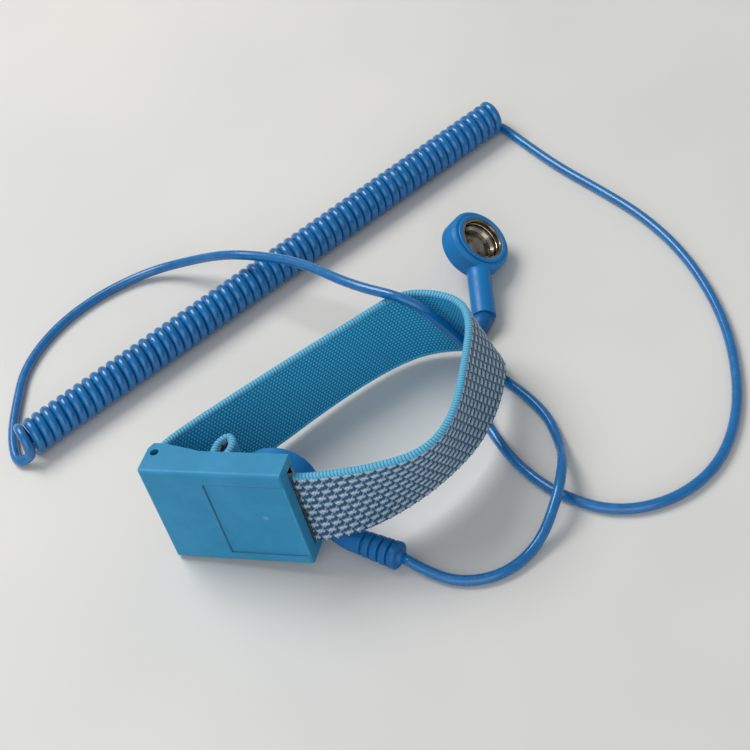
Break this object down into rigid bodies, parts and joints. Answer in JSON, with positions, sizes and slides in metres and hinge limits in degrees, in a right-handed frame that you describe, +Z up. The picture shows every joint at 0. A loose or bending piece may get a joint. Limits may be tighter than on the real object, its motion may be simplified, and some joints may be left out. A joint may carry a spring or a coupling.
{
  "type": "anti-static wrist strap",
  "caption": "Anti-static wrist strap: woven elastic band with a folding clamp buckle and a curly earthing cord between two round press-snap connectors.",
  "frame": {"origin": "centre of the strap's footprint (buckle and band, without the cord and its connectors) on the table", "axes": "+X along the buckle from its hinge end to its fixed-band end, +Y from the buckle's outer face into the band's loop, +Z up from the table; the strap itself leans about five degrees, as it stands"},
  "size_m": [0.1747, 0.1473, 0.0306],
  "materials": {
    "buckle_plastic": "satin moulded light blue, faintly mottled",
    "steel": "drawn bright steel",
    "stainless": "stamped stainless sheet",
    "nickel": "nickel plated, warm and bright",
    "band_fabric": "woven elastic, silver grey and blue check outside, blue inside",
    "selvedge_thread": "ribbed overcast cyan thread",
    "connector_plastic": "smooth moulded mid blue",
    "relief_rubber": "soft moulded blue",
    "cord_jacket": "glossy blue polyurethane",
    "terminal_brass": "plain stamped brass",
    "resistor_body": "coated film resistor"
  },
  "bodies": {
    "strap": {"buckle_base": "buckle_plastic", "hinge_pin": "steel", "contact_plate": "stainless", "retainer_plate": "stainless", "plate_rivets": "steel", "stud_rivet": "nickel", "band_web": "band_fabric", "lower_selvedge": "selvedge_thread", "upper_selvedge": "selvedge_thread", "wrist_lead": "cord_jacket", "curly_cord": "cord_jacket", "ground_lead": "cord_jacket", "ground_snap_housing": "connector_plastic", "ground_back_cap": "connector_plastic", "ground_socket_cup": "nickel", "ground_spring_ring": "steel", "ground_socket_rivet": "nickel", "ground_ring_terminal": "terminal_brass"},
    "clamp_lever": {"clamp_lever": "buckle_plastic"},
    "snap_stud": {"snap_stud": "nickel"},
    "wrist_connector": {"wrist_snap_housing": "connector_plastic", "wrist_back_cap": "connector_plastic", "wrist_socket_cup": "nickel", "wrist_spring_ring": "steel", "wrist_socket_rivet": "nickel", "wrist_ring_terminal": "terminal_brass", "series_resistor": "resistor_body", "wrist_strain_relief": "relief_rubber"}
  },
  "joints": [
    {"name": "lever_hinge", "type": "hinge", "parent": "strap", "child": "clamp_lever", "pos_m": [-0.02864, -0.02699, 0.01384], "axis": [-0.092, 0.0872, 0.9919], "range_deg": [0, 80]},
    {"name": "snap_swivel", "type": "hinge", "parent": "strap", "child": "snap_stud", "pos_m": [-0.00574, -0.02619, 0.01589], "axis": [0.0081, 0.9962, -0.0868], "range_deg": [0, 45]},
    {"name": "snap_pull_off", "type": "slide", "parent": "snap_stud", "child": "wrist_connector", "axis": [0.0081, 0.9962, -0.0868], "range_m": [0, 0.007]}
  ]
}
